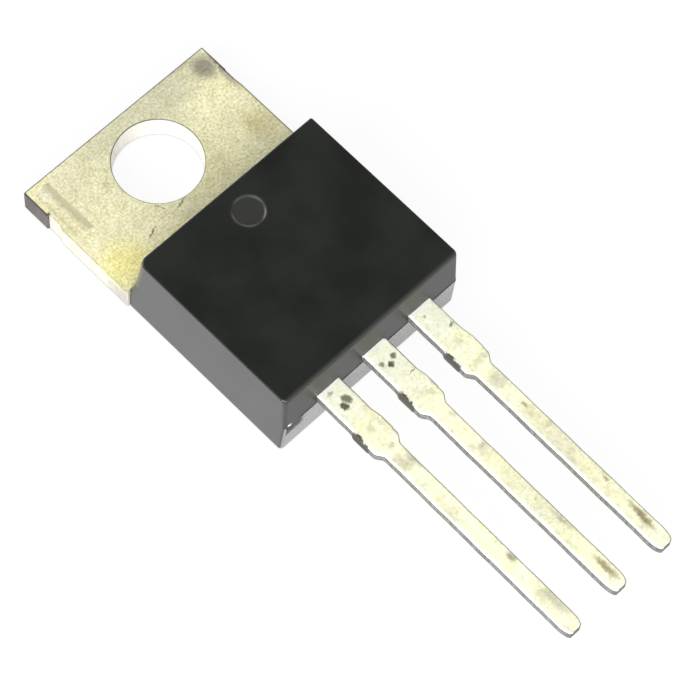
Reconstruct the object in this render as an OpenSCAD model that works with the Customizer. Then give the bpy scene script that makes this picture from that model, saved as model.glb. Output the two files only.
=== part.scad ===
// Power transistor in a flat moulded package with a screw tab and stamped leads.
// It lies on its back: the bare metal back is on z = 0 and the moulded front face looks up.
// The origin is the centre of the screw hole, on the back. +Y runs to the tab's end
// and the leads point along -Y. All lengths are in millimetres.

/* [Tab] */
// Width of the tab, over the cut ends of its tie bars
tab_w = 10; // [9.4:0.1:10.8]
// Thickness of the tab and of the pad inside the moulding
tab_t = 1.27; // [1:0.01:1.4]
// Diameter of the screw hole
hole_d = 3.86; // [3.2:0.02:4.2]
// From the hole's centre to the end of the tab
hole_to_end = 2.68; // [2.5:0.01:3.4]
// From the hole's centre to the foot of the moulding
hole_to_body = 3.53; // [3:0.01:4.2]
// Length of the sheared tie bar end on each side of the tab
tie_len = 1.43; // [0.8:0.01:2]
// How far the tab's gate side steps in below the tie bar end
relief_depth = 0.1; // [0.04:0.01:0.2]
// How far the tab's source side steps in there
source_relief_depth = 0.03; // [0.01:0.01:0.2]
// Length of both steps along the side
relief_len = 0.95; // [0.6:0.05:1.6]
// Width of the shallow coined band along the tab's gate side
band_w = 0.8; // [0.5:0.05:1]
// From the tab's side to that band
band_in = 0.25; // [0.15:0.05:0.5]
// From the tab's end to that band
band_from = 0.35; // [0.2:0.05:0.6]
// Length of that band
band_len = 2.7; // [2:0.1:3.2]
// Depth of that band
band_depth = 0.03; // [0.02:0.01:0.06]

/* [Pad inside the moulding] */
// Width of the moulding on each side of the pad's back, which stays bare
pad_wall = 0.75; // [0.6:0.05:1.2]
// From the lower end of the pad to the moulding's end at the leads
pad_short = 2.23; // [1.95:0.01:2.8]
// How far the coined lip stands out on each side, for the moulding to grip
lip_w = 0.25; // [0.1:0.05:0.4]
// Height of the underside of that lip above the back
lip_z = 0.6; // [0.4:0.05:0.8]

/* [Moulding] */
// How far each side of the moulding stands in from the tab's side, at the back
side_in = 0.1; // [0.05:0.01:0.2]
// Height of the front face above the back
body_h = 4.37; // [4.1:0.01:4.7]
// From the hole's centre to the parting line at the leads' end
body_end = 12.43; // [12.2:0.01:13]
// Height of the parting line and of the leads' underside
part_z = 2.08; // [1.95:0.01:2.2]
// Draft of the two long sides, in degrees
side_draft = 1.7; // [0.5:0.1:4]
// Draft of the leads' end above the parting line, in degrees
upper_draft = 3; // [1:0.1:7]
// Draft of the leads' end below the parting line, in degrees
lower_draft = 3; // [1:0.1:7]
// Draft of the end that faces the tab, in degrees
tab_draft = 7.7; // [3:0.1:12]
// How far the lower half stands out at the parting line
ledge = 0.02; // [0.01:0.01:0.1]
// How far the moulding's back is set in from the metal
back_set = 0.03; // [0.01:0.01:0.1]
// Radius of the upright corners
corner_r = 0.18; // [0.15:0.01:0.3]
// Radius of the upright corner on the gate side, next to the tab
big_corner_r = 0.4; // [0.2:0.05:0.7]
// Radius of the corners beside the tab, where the moulding meets its shoulders
foot_r = 0.05; // [0.02:0.01:0.1]
// Radius of the edge round the front face
edge_r = 0.07; // [0.03:0.01:0.14]
// Diameter of the ejector pin's mark on the front face
pin_d = 1.48; // [1:0.02:2]
// Depth of that mark
pin_depth = 0.04; // [0.02:0.01:0.1]
// From the front face's edge at the tab to the mark's centre
pin_in = 1.33; // [1.1:0.01:2]
// From the corner of the moulding to the scar where the resin was broken off its runner
scar_in = 0.14; // [0.1:0.01:0.3]
// Length of that scar along the parting line
scar_len = 0.88; // [0.5:0.02:1]
// Height of that scar below the parting line
scar_h = 0.66; // [0.4:0.01:0.7]
// Depth of that scar at its deep end, next to the corner
scar_depth = 0.12; // [0.08:0.01:0.2]
// Depth of that scar at its other end
scar_end_depth = 0.06; // [0.05:0.01:0.08]
// Diameter of the two ejector marks on the back, between the pad and the leads
back_pin_d = 1.1; // [0.8:0.1:1.3]

/* [Leads] */
// Distance between neighbouring leads
pitch = 2.54; // [2.5:0.01:2.6]
// Thickness of the leads
lead_t = 0.51; // [0.4:0.01:0.6]
// Length of the leads, from the parting line at the moulding to their tips
lead_len = 13.78; // [12.7:0.01:14.7]
// Width of the thin part of a lead
lead_w = 0.85; // [0.7:0.01:0.95]
// Width of the wide part of a lead, next to the moulding
wide_w = 1.24; // [1.15:0.01:1.4]
// From the moulding to the end of the wide part
wide_len = 3.7; // [3.4:0.02:4]
// Width over the sheared stubs of the dam bar
dam_w = 1.4; // [1.35:0.01:1.5]
// From the moulding to the dam bar's stubs
dam_from = 2.03; // [1.6:0.01:2.1]
// Length of a stub along the lead
dam_len = 0.9; // [0.6:0.05:1]
// Width between the dam bar and the neck
hip_w = 1.34; // [1.24:0.01:1.38]
// Length of the neck, where the lead narrows
neck_len = 0.5; // [0.3:0.05:0.7]
// Length of the point
tip_len = 0.62; // [0.3:0.02:1]
// Width of the cut end of the point
tip_w = 0.44; // [0.3:0.02:0.6]

/* [Bond posts] */
// From the leads' end of the moulding to the bond posts
post_in = 0.47; // [0.4:0.01:0.8]
// Length of a bond post along the lead
post_len = 1.5; // [1.2:0.1:1.7]
// Gap between the middle lead and each bond post
post_gap = 0.6; // [0.4:0.05:0.7]
// Moulding left outside each bond post
post_wall = 0.7; // [0.5:0.05:0.9]
// Length of the foot by which the middle lead leaves the pad
foot_len = 0.3; // [0.2:0.05:0.4]
// Length over which the middle lead rises to the others
rise_len = 1.2; // [0.9:0.05:1.3]

/* [Chip and wires] */
// Width of the chip
chip_w = 4.2; // [3:0.1:5]
// Length of the chip
chip_l = 5; // [3.4:0.1:5.4]
// Thickness of the chip
chip_t = 0.28; // [0.15:0.01:0.4]
// Thickness of the solder under the chip
solder_t = 0.06; // [0.03:0.01:0.12]
// How far the solder reaches past the chip all round
solder_rim = 0.15; // [0.05:0.05:0.3]
// Diameter of the two source wires
source_wire_d = 0.38; // [0.25:0.01:0.5]
// Distance between the two source wires
source_wire_gap = 1.1; // [0.9:0.05:1.2]
// Diameter of the gate wire
gate_wire_d = 0.2; // [0.12:0.01:0.25]
// From the chip's edges to the middle of its gate pad
gate_pad_in = 0.6; // [0.5:0.05:1]
// Length of a flattened wire end
bond_len = 0.7; // [0.5:0.05:0.8]
// Height of a wire's arch above the bond posts
arch = 0.7; // [0.5:0.05:0.9]

/* [Hidden] */

// Segments in a quarter turn of a rounded corner
corner_steps = 6;
// Steps in a rounded edge, a neck and a wire's arch
edge_steps = 3;
neck_steps = 8;
arch_steps = 10;
// Sides of a bond wire
wire_sides = 8;
// Share by which a wire's end is pressed flat, and by which it spreads
bond_flat = 0.6;
bond_spread = 1.35;
// Length of a bond wire's run from round to flat
bond_run = 0.15;
// Share of a wire's run over which it climbs from its seat
heel_share = 0.25;
// Step along a wire's curve, of 1 in all, for finding its slope
slope_step = 0.01;
// Overshoot of a cut past the face that it opens
past = 0.5;
$fn = 64;

body_w = tab_w - 2 * side_in;
pad_w = body_w - 2 * pad_wall;
pad_end = body_end - pad_short;
lead_top = part_z + lead_t;
lead_tip_y = -body_end - lead_len;
chip_z = tab_t + solder_t;
chip_top = chip_z + chip_t;
chip_y = -(hole_to_body + pad_end) / 2;
post_y0 = -body_end + post_in;
post_x0 = wide_w / 2 + post_gap;
post_x1 = body_w / 2 - post_wall;
post_mid_x = (post_x0 + post_x1) / 2;
post_mid_y = post_y0 + post_len / 2;
pad_hold_w = pad_w + 2 * lip_w;

// Half width of the moulding at height z
function body_x(z) = body_w / 2 - (z - back_set) * tan(side_draft);
// Where the moulding's end at the tab stands at height z: upright beside the tab, then leaning back
function tab_end_y(z) = -hole_to_body - max(0, z - tab_t) * tan(tab_draft);
// Where the end at the leads stands at height z, below and above the parting line
function lower_end_y(z) = -body_end - ledge + (part_z - z) * tan(lower_draft);
function upper_end_y(z) = -body_end + (z - part_z) * tan(upper_draft);

// A quarter turn of radius r about c, from angle a
function quarter(c, r, a) =
    [for (i = [0:corner_steps]) c + r * [cos(a + 90 * i / corner_steps), sin(a + 90 * i / corner_steps)]];

// One level of the moulding at height z: a rectangle with rounded corners, drawn in by inset all
// round. y0 is its end at the leads, r and big its corner radii at the tab.
function level(z, y0, r, big, inset) = let(
    x = body_x(z) - inset,
    low = y0 + inset,
    high = tab_end_y(z) - inset,
    rr = r - inset,
    rb = big - inset,
    rl = corner_r - inset)
    [for (p = concat(
        quarter([x - rr, high - rr], rr, 0),
        quarter([rb - x, high - rb], rb, 90),
        quarter([rl - x, low + rl], rl, 180),
        quarter([x - rl, low + rl], rl, 270))) [p.x, p.y, z]];

// Levels below the parting line, where the corners at the tab spread as they rise, and above it
function lower_level(z) = let(
    rise = max(0, z - tab_t) / (part_z - tab_t))
    level(z, lower_end_y(z), foot_r + rise * (corner_r - foot_r), foot_r + rise * (big_corner_r - foot_r), 0);
function upper_level(z, inset) = level(z, upper_end_y(z), corner_r, big_corner_r, inset);

// Skin over a stack of levels that all have the same number of points
module loft(levels) {
    n = len(levels[0]);
    m = len(levels);
    sides = [for (j = [0:m - 2], i = [0:n - 1]) let(k = (i + 1) % n)
        each [[j * n + i, (j + 1) * n + i, (j + 1) * n + k], [j * n + i, (j + 1) * n + k, j * n + k]]];
    bottom = [for (i = [0:n - 1]) i];
    top = [for (i = [n - 1:-1:0]) (m - 1) * n + i];
    polyhedron([for (l = levels) each l], concat([bottom], sides, [top]));
}

// The whole outer form of the moulding, with drafts, parting ledge and rounded front edge
module moulding_form() {
    rim = body_h - edge_r;
    loft([for (z = [back_set, tab_t]) lower_level(z)]);
    loft([for (z = [tab_t, part_z]) lower_level(z)]);
    loft(concat([upper_level(part_z, 0)], [for (i = [0:edge_steps]) let(a = 90 * i / edge_steps)
        upper_level(rim + edge_r * sin(a), edge_r * (1 - cos(a)))]));
}

// Shallow round mark of an ejector pin on the front face
module pin_mark() {
    translate([0, tab_end_y(body_h) - pin_in, body_h - pin_depth]) cylinder(d = pin_d, h = past);
}

// Two shallow ejector marks on the back, between the end of the pad and the leads' end
module back_pin_marks() {
    strip_mid = (-pad_end + lower_end_y(0)) / 2;
    for (x = [-post_mid_x, post_mid_x])
        translate([x, strip_mid, back_set + pin_depth - past]) cylinder(d = back_pin_d, h = past);
}

// Scar of the runner: a shallow wedge broken out below the parting line, deepest next to the corner
module runner_scar() {
    x0 = scar_in - body_x(part_z);
    x1 = x0 + scar_len;
    y = lower_end_y(part_z);
    translate([0, 0, part_z - scar_h]) linear_extrude(scar_h)
        polygon([[x0, y - past], [x1, y - past], [x1, y + scar_end_depth], [x0, y + scar_depth]]);
}

module moulding() {
    color("#262624") difference() {
        moulding_form();
        tab_body();
        for (side = [-1, 1]) outer_lead(side);
        chip_body();
        solder_body();
        gate_wire_body();
        for (i = [0, 1]) source_wire_body(i);
        pin_mark();
        back_pin_marks();
        runner_scar();
    }
}

// A right-hand outline, from top to bottom, closed by the mirror image of a second one
function two_sides(right, left) =
    concat(right, [for (i = [len(left) - 1:-1:0]) [-left[i].x, left[i].y]]);
function both_sides(right) = two_sides(right, right);

// Right-hand half of the outline of tab and pad, from the tab's end down, with a step of the given
// depth in the tab's side and a pad of the given width
function tab_side(depth, width) = let(
    x = tab_w / 2,
    y = hole_to_end - tie_len,
    ramp = relief_len / 3)
    [[x, hole_to_end], [x, y], [x - depth, y], [x - depth, y - relief_len + ramp], [x, y - relief_len],
     [x, -hole_to_body], [width / 2, -hole_to_body], [width / 2, -pad_end]];

// Outline of tab and pad, with a pad of the given width
module tab_outline(width) {
    polygon(two_sides(tab_side(source_relief_depth, width), tab_side(relief_depth, width)));
}

// Side view of the middle lead inside the moulding: a foot on the pad, a rise, and a level run
module drain_rise() {
    y0 = -pad_end;
    y1 = y0 - foot_len;
    y2 = y1 - rise_len;
    knee = lead_t * tan(atan2(lead_top - tab_t, rise_len) / 2);
    rotate([90, 0, 90]) linear_extrude(wide_w, center = true)
        polygon([[y0, tab_t - lead_t], [y1 - knee, tab_t - lead_t], [y2 - knee, part_z], [-body_end, part_z],
                 [-body_end, lead_top], [y2, lead_top], [y1, tab_t], [y0, tab_t]]);
}

// The tab, its pad and the middle lead, stamped and formed from one strip of two thicknesses
module tab_body() {
    difference() {
        union() {
            linear_extrude(lip_z) tab_outline(pad_w);
            translate([0, 0, lip_z]) linear_extrude(tab_t - lip_z) tab_outline(pad_hold_w);
            drain_rise();
            translate([0, 0, part_z]) linear_extrude(lead_t) polygon(both_sides(lead_side()));
        }
        translate([0, 0, -past]) cylinder(d = hole_d, h = tab_t + 2 * past);
        translate([band_in - tab_w / 2, hole_to_end - band_from - band_len, tab_t - band_depth])
            cube([band_w, band_len, past]);
    }
}

module tab_with_drain_lead() {
    color("#d8d4b4") tab_body();
}

// Right-hand side of a lead outside the moulding: wide part, dam bar stub, hip, neck and point
function lead_side() = let(
    neck_y = -body_end - wide_len,
    dam_y = -body_end - dam_from)
    concat(
        [[wide_w / 2, -body_end], [wide_w / 2, dam_y], [dam_w / 2, dam_y], [dam_w / 2, dam_y - dam_len],
         [hip_w / 2, dam_y - dam_len]],
        [for (i = [0:neck_steps]) let(s = i / neck_steps)
            [lead_w / 2 + (hip_w - lead_w) / 2 * (1 + cos(180 * s)) / 2, neck_y + neck_len * (1 - s)]],
        [for (i = [0:edge_steps]) let(a = 90 * i / edge_steps)
            [tip_w / 2 + (lead_w - tip_w) / 2 * cos(a), lead_tip_y + tip_len * (1 - sin(a))]]);

// A T-shaped bond post, whose head locks in the moulding, listed from the left of its stem
function post_points() = let(
    y1 = post_y0 + post_len,
    stem0 = pitch - wide_w / 2,
    stem1 = pitch + wide_w / 2)
    [[stem0, post_y0], [post_x0, post_y0], [post_x0, y1], [post_x1, y1], [post_x1, post_y0],
     [stem1, post_y0]];

// An outer lead with its bond post: side is -1 for the gate and 1 for the source
module outer_lead(side) {
    outside = [for (p = both_sides(lead_side())) [pitch + p.x, p.y]];
    mirror([side < 0 ? 1 : 0, 0, 0]) translate([0, 0, part_z]) linear_extrude(lead_t)
        polygon(concat(outside, post_points()));
}

module gate_lead() {
    color("#e6e2c4") outer_lead(-1);
}

module source_lead() {
    color("#e6e2c4") outer_lead(1);
}

// The chip, a plain slab of silicon centred on the pad
module chip_body() {
    translate([-chip_w / 2, chip_y - chip_l / 2, chip_z]) cube([chip_w, chip_l, chip_t]);
}

module chip() {
    color("#5c6068") chip_body();
}

// The solder that holds the chip to the pad
module solder_body() {
    w = chip_w + 2 * solder_rim;
    l = chip_l + 2 * solder_rim;
    translate([-w / 2, chip_y - l / 2, tab_t]) cube([w, l, solder_t]);
}

module chip_solder() {
    color("#a8a8a4") solder_body();
}

// Point at s on the cubic curve through the handles a, b, c and d
function bezier(a, b, c, d, s) =
    pow(1 - s, 3) * a + 3 * pow(1 - s, 2) * s * b + 3 * (1 - s) * s * s * c + pow(s, 3) * d;

// Height of a wire's middle above its seat, where the wire's half height is h
function seat_height(h) = h * cos(180 / wire_sides);

// Stations along a wire: distance along the ground, height, slope, half width and half height.
// Both ends lie flat on their seats, z0 and z1, and an arch of the given height joins them.
function wire_stations(run, z0, z1, r) = let(
    flat = r * bond_flat,
    wide = r * bond_spread,
    a = [0, z0 + seat_height(r)],
    d = [run, z1 + seat_height(r)],
    b = a + [run * heel_share, z1 - z0 + arch],
    c = d + [-run * heel_share, arch])
    concat(
        [[-bond_run - bond_len, z0 + seat_height(flat), 0, wide, flat],
         [-bond_run, z0 + seat_height(flat), 0, wide, flat]],
        [for (i = [0:arch_steps]) let(
            s = i / arch_steps,
            p = bezier(a, b, c, d, s),
            q = bezier(a, b, c, d, min(1, s + slope_step)) - bezier(a, b, c, d, max(0, s - slope_step)),
            slope = i == 0 || i == arch_steps ? 0 : atan2(q.y, q.x))
            [p.x, p.y, slope, r, r]],
        [[run + bond_run, z1 + seat_height(flat), 0, wide, flat],
         [run + bond_run + bond_len, z1 + seat_height(flat), 0, wide, flat]]);

// A bond wire of diameter d from the seat at start to the seat at stop, both [x, y, z]
module bond_wire(start, stop, d) {
    away = [stop.x - start.x, stop.y - start.y];
    ends = 2 * (bond_run + bond_len / 2);
    heading = atan2(away.y, away.x);
    stations = wire_stations(norm(away) - ends, start.z, stop.z, d / 2);
    translate([start.x, start.y, 0]) rotate(heading) translate([ends / 2, 0, 0])
        loft([for (s = stations) [for (i = [0:wire_sides - 1]) let(a = (i + 0.5) * 360 / wire_sides)
            [s[0] - s[4] * sin(a) * sin(s[2]), s[3] * cos(a), s[1] + s[4] * sin(a) * cos(s[2])]]]);
}

module gate_wire_body() {
    bond_wire([gate_pad_in - chip_w / 2, chip_y - chip_l / 2 + gate_pad_in, chip_top],
              [-post_mid_x, post_mid_y, lead_top], gate_wire_d);
}

module gate_wire() {
    color("#c8c8cc") gate_wire_body();
}

// Source wire number 0 or 1, counted from the middle of the part
module source_wire_body(i) {
    shift = (i - 0.5) * source_wire_gap;
    bond_wire([chip_w / 4 + shift, chip_y, chip_top],
              [post_mid_x + shift, post_mid_y, lead_top], source_wire_d);
}

module source_wire_inner() {
    color("#c8c8cc") source_wire_body(0);
}

module source_wire_outer() {
    color("#c8c8cc") source_wire_body(1);
}

moulding();
tab_with_drain_lead();
gate_lead();
source_lead();
chip();
chip_solder();
gate_wire();
source_wire_inner();
source_wire_outer();
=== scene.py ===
# %% [markdown]
# # A power transistor in a moulded package
# A chip sits on a copper tab, resin is moulded round it, and three stamped leads come out of one
# end. The CAD model comes first and stays as it is: it gives every size and place. This lesson then
# makes each piece again with the edges, marks and finish that a close photograph shows.
# The frame is the CAD's: the origin is the screw hole's centre on the metal back, +Y runs to the
# tab's end, the leads point along -Y and +Z comes out of the front face.

import bpy
import numpy as np
from mathutils import Matrix, Vector


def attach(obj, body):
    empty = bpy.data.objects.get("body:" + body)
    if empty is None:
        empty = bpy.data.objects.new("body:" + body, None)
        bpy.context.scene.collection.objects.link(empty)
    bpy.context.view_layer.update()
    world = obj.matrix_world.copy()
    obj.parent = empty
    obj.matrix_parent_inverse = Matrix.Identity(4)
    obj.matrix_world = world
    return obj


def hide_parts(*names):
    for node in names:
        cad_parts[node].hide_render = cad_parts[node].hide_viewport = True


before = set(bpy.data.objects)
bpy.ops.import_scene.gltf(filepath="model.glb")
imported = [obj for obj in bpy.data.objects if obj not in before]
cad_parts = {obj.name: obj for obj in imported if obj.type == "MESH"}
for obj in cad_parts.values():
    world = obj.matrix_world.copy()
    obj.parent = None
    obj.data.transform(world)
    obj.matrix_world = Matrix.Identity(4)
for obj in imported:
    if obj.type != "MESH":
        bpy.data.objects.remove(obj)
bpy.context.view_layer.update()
MM = 0.001
print("CAD nodes:", sorted(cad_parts))

# %% [markdown]
# ## The camera
# The photograph was taken from above the left front corner, with the camera turned a little. A turn,
# a height, a roll and a distance that put the package's corners where the picture has them give the
# camera. They could be tried by eye, but a least-squares fit to the corners is surer, and it gave
# these numbers.

# %% Camera
CAMERA_TURN = np.radians(-49.792)
CAMERA_HEIGHT = np.radians(65.246)
CAMERA_ROLL = np.radians(5.915)
CAMERA_DISTANCE = 135.948
CAMERA_TARGET = np.array([-0.479, -11.276, 2.0])
SENSOR_MM = 36.0
PICTURE_PIXELS = 686
FOCAL_PIXELS = 3412.305


def camera_axes(turn, height, roll):
    """Right, up and back of a camera that looks at the target: back points from the target to the
    camera, right is level before the roll, and the roll turns right and up about back."""
    back = np.array([np.sin(turn) * np.cos(height), -np.cos(turn) * np.cos(height), np.sin(height)])
    level = np.array([np.cos(turn), np.sin(turn), 0.0])
    steep = np.cross(back, level)
    right = np.cos(roll) * level + np.sin(roll) * steep
    up = np.cos(roll) * steep - np.sin(roll) * level
    return right, up, back


def place_camera():
    """Adds the camera at target + back * distance, with the lens that the focal length gives."""
    right, up, back = camera_axes(CAMERA_TURN, CAMERA_HEIGHT, CAMERA_ROLL)
    spot = (CAMERA_TARGET + back * CAMERA_DISTANCE) * MM
    lens = bpy.data.cameras.new("camera")
    lens.sensor_width = SENSOR_MM
    lens.lens = FOCAL_PIXELS * SENSOR_MM / PICTURE_PIXELS
    lens.clip_start = 0.01
    lens.clip_end = 10.0
    camera = bpy.data.objects.new("camera", lens)
    pose = np.eye(4)
    pose[:3, 0] = right
    pose[:3, 1] = up
    pose[:3, 2] = back
    pose[:3, 3] = spot
    camera.matrix_world = Matrix(pose.tolist())
    bpy.context.scene.collection.objects.link(camera)
    bpy.context.scene.camera = camera
    return camera


camera = place_camera()
print("camera at", [round(v, 4) for v in camera.matrix_world.translation])

# %% [markdown]
# ## Nodes for finishes
# Every finish is a small tree of nodes. These helpers keep the trees short to read: one adds a node
# and joins its inputs, one makes noise, and one lays a soft round mark on the surface. All patterns
# read the object's own coordinates, so they stay where they are when the camera moves.

# %% Node helpers
class Finish:
    """A material under construction: its nodes, and the coordinates that its patterns read."""

    def __init__(self, name):
        self.material = bpy.data.materials.new(name)
        self.material.use_nodes = True
        self.tree = self.material.node_tree
        self.shader = self.tree.nodes["Principled BSDF"]
        self.place = self.add("ShaderNodeTexCoord").outputs["Object"]

    def add(self, kind, settings=None, **inputs):
        """A node of a kind, with settings, and with inputs that are values or other nodes' outputs."""
        node = self.tree.nodes.new(kind)
        for key, value in (settings or {}).items():
            setattr(node, key, value)
        for key, value in inputs.items():
            self.join(value, node.inputs[int(key[1:]) if key[1:].isdigit() else key])
        return node

    def join(self, value, socket):
        """Puts an output's link or a plain value into a socket."""
        if isinstance(value, bpy.types.NodeSocket):
            self.tree.links.new(value, socket)
        else:
            socket.default_value = value

    def math(self, operation, a, b):
        """a and b through one arithmetic operation."""
        return self.add("ShaderNodeMath", {"operation": operation}, i0=a, i1=b).outputs[0]

    def ramp(self, value, low, high, out_low=0.0, out_high=1.0):
        """A smooth step: out_low below low, out_high above high."""
        node = self.add("ShaderNodeMapRange", {"interpolation_type": "SMOOTHSTEP"}, Value=value)
        for key, number in zip(("From Min", "From Max", "To Min", "To Max"), (low, high, out_low, out_high)):
            node.inputs[key].default_value = number
        return node.outputs["Result"]

    def noise(self, size, detail, stretch=(1.0, 1.0, 1.0)):
        """Cloudy noise whose lumps are about size millimetres across, longer where stretch is more."""
        scale = [1.0 / (size * MM * s) for s in stretch]
        spot = self.add("ShaderNodeMapping", Vector=self.place, Scale=scale)
        node = self.add("ShaderNodeTexNoise", Vector=spot.outputs[0], Scale=1.0, Detail=detail)
        return node.outputs["Fac"]

    def blend(self, amount, a, b, kind="MIX"):
        """Colour a, with b laid over it by the amount."""
        node = self.add("ShaderNodeMix", {"data_type": "RGBA", "blend_type": kind})
        self.join(amount, node.inputs["Factor"])
        self.join(a, node.inputs[6])
        self.join(b, node.inputs[7])
        return node.outputs[2]

    def contrast(self, value, low, high):
        """A value stretched so that low becomes 0 and high becomes 1, without easing."""
        node = self.add("ShaderNodeMapRange", Value=value)
        node.inputs["From Min"].default_value = low
        node.inputs["From Max"].default_value = high
        return node.outputs["Result"]

    def attribute(self, name):
        """A number that the mesh carries at its points."""
        return self.add("ShaderNodeAttribute", {"attribute_name": name}).outputs["Fac"]

    def spot(self, place, x, y, across, along, turn=0.0, soft=0.6):
        """A soft oval mark at x, y in millimetres: 1 in the middle, and 0 past its half widths."""
        where = self.add("ShaderNodeMapping", {"vector_type": "TEXTURE"}, Vector=place)
        where.inputs["Location"].default_value = (x * MM, y * MM, 0.0)
        where.inputs["Rotation"].default_value = (0.0, 0.0, np.radians(turn))
        where.inputs["Scale"].default_value = (across * MM, along * MM, 1.0)
        ball = self.add("ShaderNodeTexGradient", {"gradient_type": "SPHERICAL"}, Vector=where.outputs[0])
        return self.ramp(ball.outputs["Fac"], 0.0, soft)

    def spots(self, place, marks):
        """The strongest of several marks, each listed as x, y, half widths, turn, softness, strength."""
        total = None
        for x, y, across, along, turn, soft, strength in marks:
            one = self.math("MULTIPLY", self.spot(place, x, y, across, along, turn, soft), strength)
            total = one if total is None else self.math("MAXIMUM", total, one)
        return total

    def patch(self, place, left, right, low, high, soft):
        """A mark in the shape of a level rectangle, in millimetres, with edges soft millimetres wide."""
        split = self.add("ShaderNodeSeparateXYZ", Vector=place)
        inside = None
        for value, start, stop in ((split.outputs[0], left, right), (split.outputs[1], low, high)):
            for edge in (self.ramp(value, (start - soft) * MM, (start + soft) * MM),
                         self.ramp(value, (stop - soft) * MM, (stop + soft) * MM, 1.0, 0.0)):
                inside = edge if inside is None else self.math("MULTIPLY", inside, edge)
        return inside

    def ragged(self, size, reach):
        """The object's coordinates pushed about by noise, so that a mark's outline is uneven."""
        scale = 1.0 / (size * MM)
        noise = self.add("ShaderNodeTexNoise", Vector=self.place, Scale=scale, Detail=3.0)
        middle = self.add("ShaderNodeVectorMath", {"operation": "SUBTRACT"}, i0=noise.outputs["Color"],
                          i1=(0.5, 0.5, 0.5))
        push = self.add("ShaderNodeVectorMath", {"operation": "SCALE"}, i0=middle.outputs[0])
        push.inputs["Scale"].default_value = 2.0 * reach * MM
        moved = self.add("ShaderNodeVectorMath", {"operation": "ADD"}, i0=self.place, i1=push.outputs[0])
        return moved.outputs[0]

    def bump(self, height, depth):
        """A bumped normal: the height, from 0 to 1, stands for depth millimetres."""
        return self.add("ShaderNodeBump", Height=height, Distance=depth * MM).outputs[0]


# %% [markdown]
# ## Surfaces as grids
# Each new piece is a grid of points: rows run one way over the surface and columns the other way.
# Numpy works out all the points at once, and only the list of faces has to know which points are
# neighbours. The signed volume then tells whether the faces point outwards.

# %% Grid helpers
def grid_faces(rows, columns, join_rows=False, join_columns=False):
    """Quads of a grid, four point numbers each: a point, its next in the row, the one above that,
    and the one above the point. A joined direction also closes its last line to its first."""
    r, c = np.meshgrid(np.arange(rows - (not join_rows)), np.arange(columns - (not join_columns)),
                       indexing="ij")
    r2 = (r + 1) % rows
    c2 = (c + 1) % columns
    quads = np.stack([r * columns + c, r * columns + c2, r2 * columns + c2, r2 * columns + c], axis=-1)
    return quads.reshape(-1, 4)


def signed_volume(points, quads):
    """Volume under the faces: a sum over triangles of a . (b x c) / 6, positive if they face out."""
    a, b, c, d = (points[quads[:, k]] for k in range(4))
    sixfold = np.einsum("ij,ij->i", a, np.cross(b, c)) + np.einsum("ij,ij->i", a, np.cross(c, d))
    return float(sixfold.sum() / 6)


SHARP_DEGREES = 32.0


def make_piece(name, parts, finishes):
    """Joins grids into one mesh that stands for the CAD node of that name. A part is its points in
    millimetres, its quads, its end faces as loops of point numbers, its finish number and its marks,
    which are named arrays with one number per point."""
    points, faces, finish, start = [], [], [], 0
    marks = {}
    for part in parts:
        quads = part["quads"]
        if signed_volume(part["points"], quads) < 0:
            quads = quads[:, ::-1]
        loops = [np.asarray(loop) for loop in part.get("ends", [])]
        faces += (quads + start).tolist() + [(loop + start).tolist() for loop in loops]
        finish += [part.get("finish", 0)] * (len(quads) + len(loops))
        points.append(part["points"])
        for key, values in part["marks"].items():
            marks.setdefault(key, []).append(np.ravel(values))
        start += len(part["points"])
    mesh = bpy.data.meshes.new(name)
    mesh.from_pydata((np.concatenate(points) * MM).tolist(), [], faces)
    mesh.polygons.foreach_set("material_index", finish)
    for key, values in marks.items():
        mesh.attributes.new(key, "FLOAT", "POINT").data.foreach_set("value", np.concatenate(values))
    mesh.shade_smooth()
    mesh.set_sharp_from_angle(angle=np.radians(SHARP_DEGREES))
    piece = bpy.data.objects.new(name + "_finished", mesh)
    bpy.context.scene.collection.objects.link(piece)
    for one in finishes:
        mesh.materials.append(one)
    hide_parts(name)
    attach(piece, "root")
    print(name, len(mesh.vertices), "points,", len(mesh.polygons), "faces")


# %% Waves and steps
WAVE_LENGTHS = np.array([2.9, 1.3, 0.55])
WAVE_SHARES = np.array([0.5, 0.3, 0.2])
WAVE_SPREAD = 0.15


def wobble(t, seed, size):
    """A slow uneven wave along t, in millimetres: three sines of unlike lengths, size high in all."""
    rng = np.random.default_rng(seed)
    lengths = WAVE_LENGTHS * rng.uniform(1 - WAVE_SPREAD, 1 + WAVE_SPREAD, 3)
    starts = rng.uniform(0, 2 * np.pi, 3)
    return size * (WAVE_SHARES * np.sin(2 * np.pi * t[..., None] / lengths + starts)).sum(-1)


def smooth_step(low, high, value):
    """0 below low, 1 above high, and 3t^2 - 2t^3 between."""
    t = np.clip((value - low) / (high - low), 0.0, 1.0)
    return t * t * (3 - 2 * t)
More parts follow.
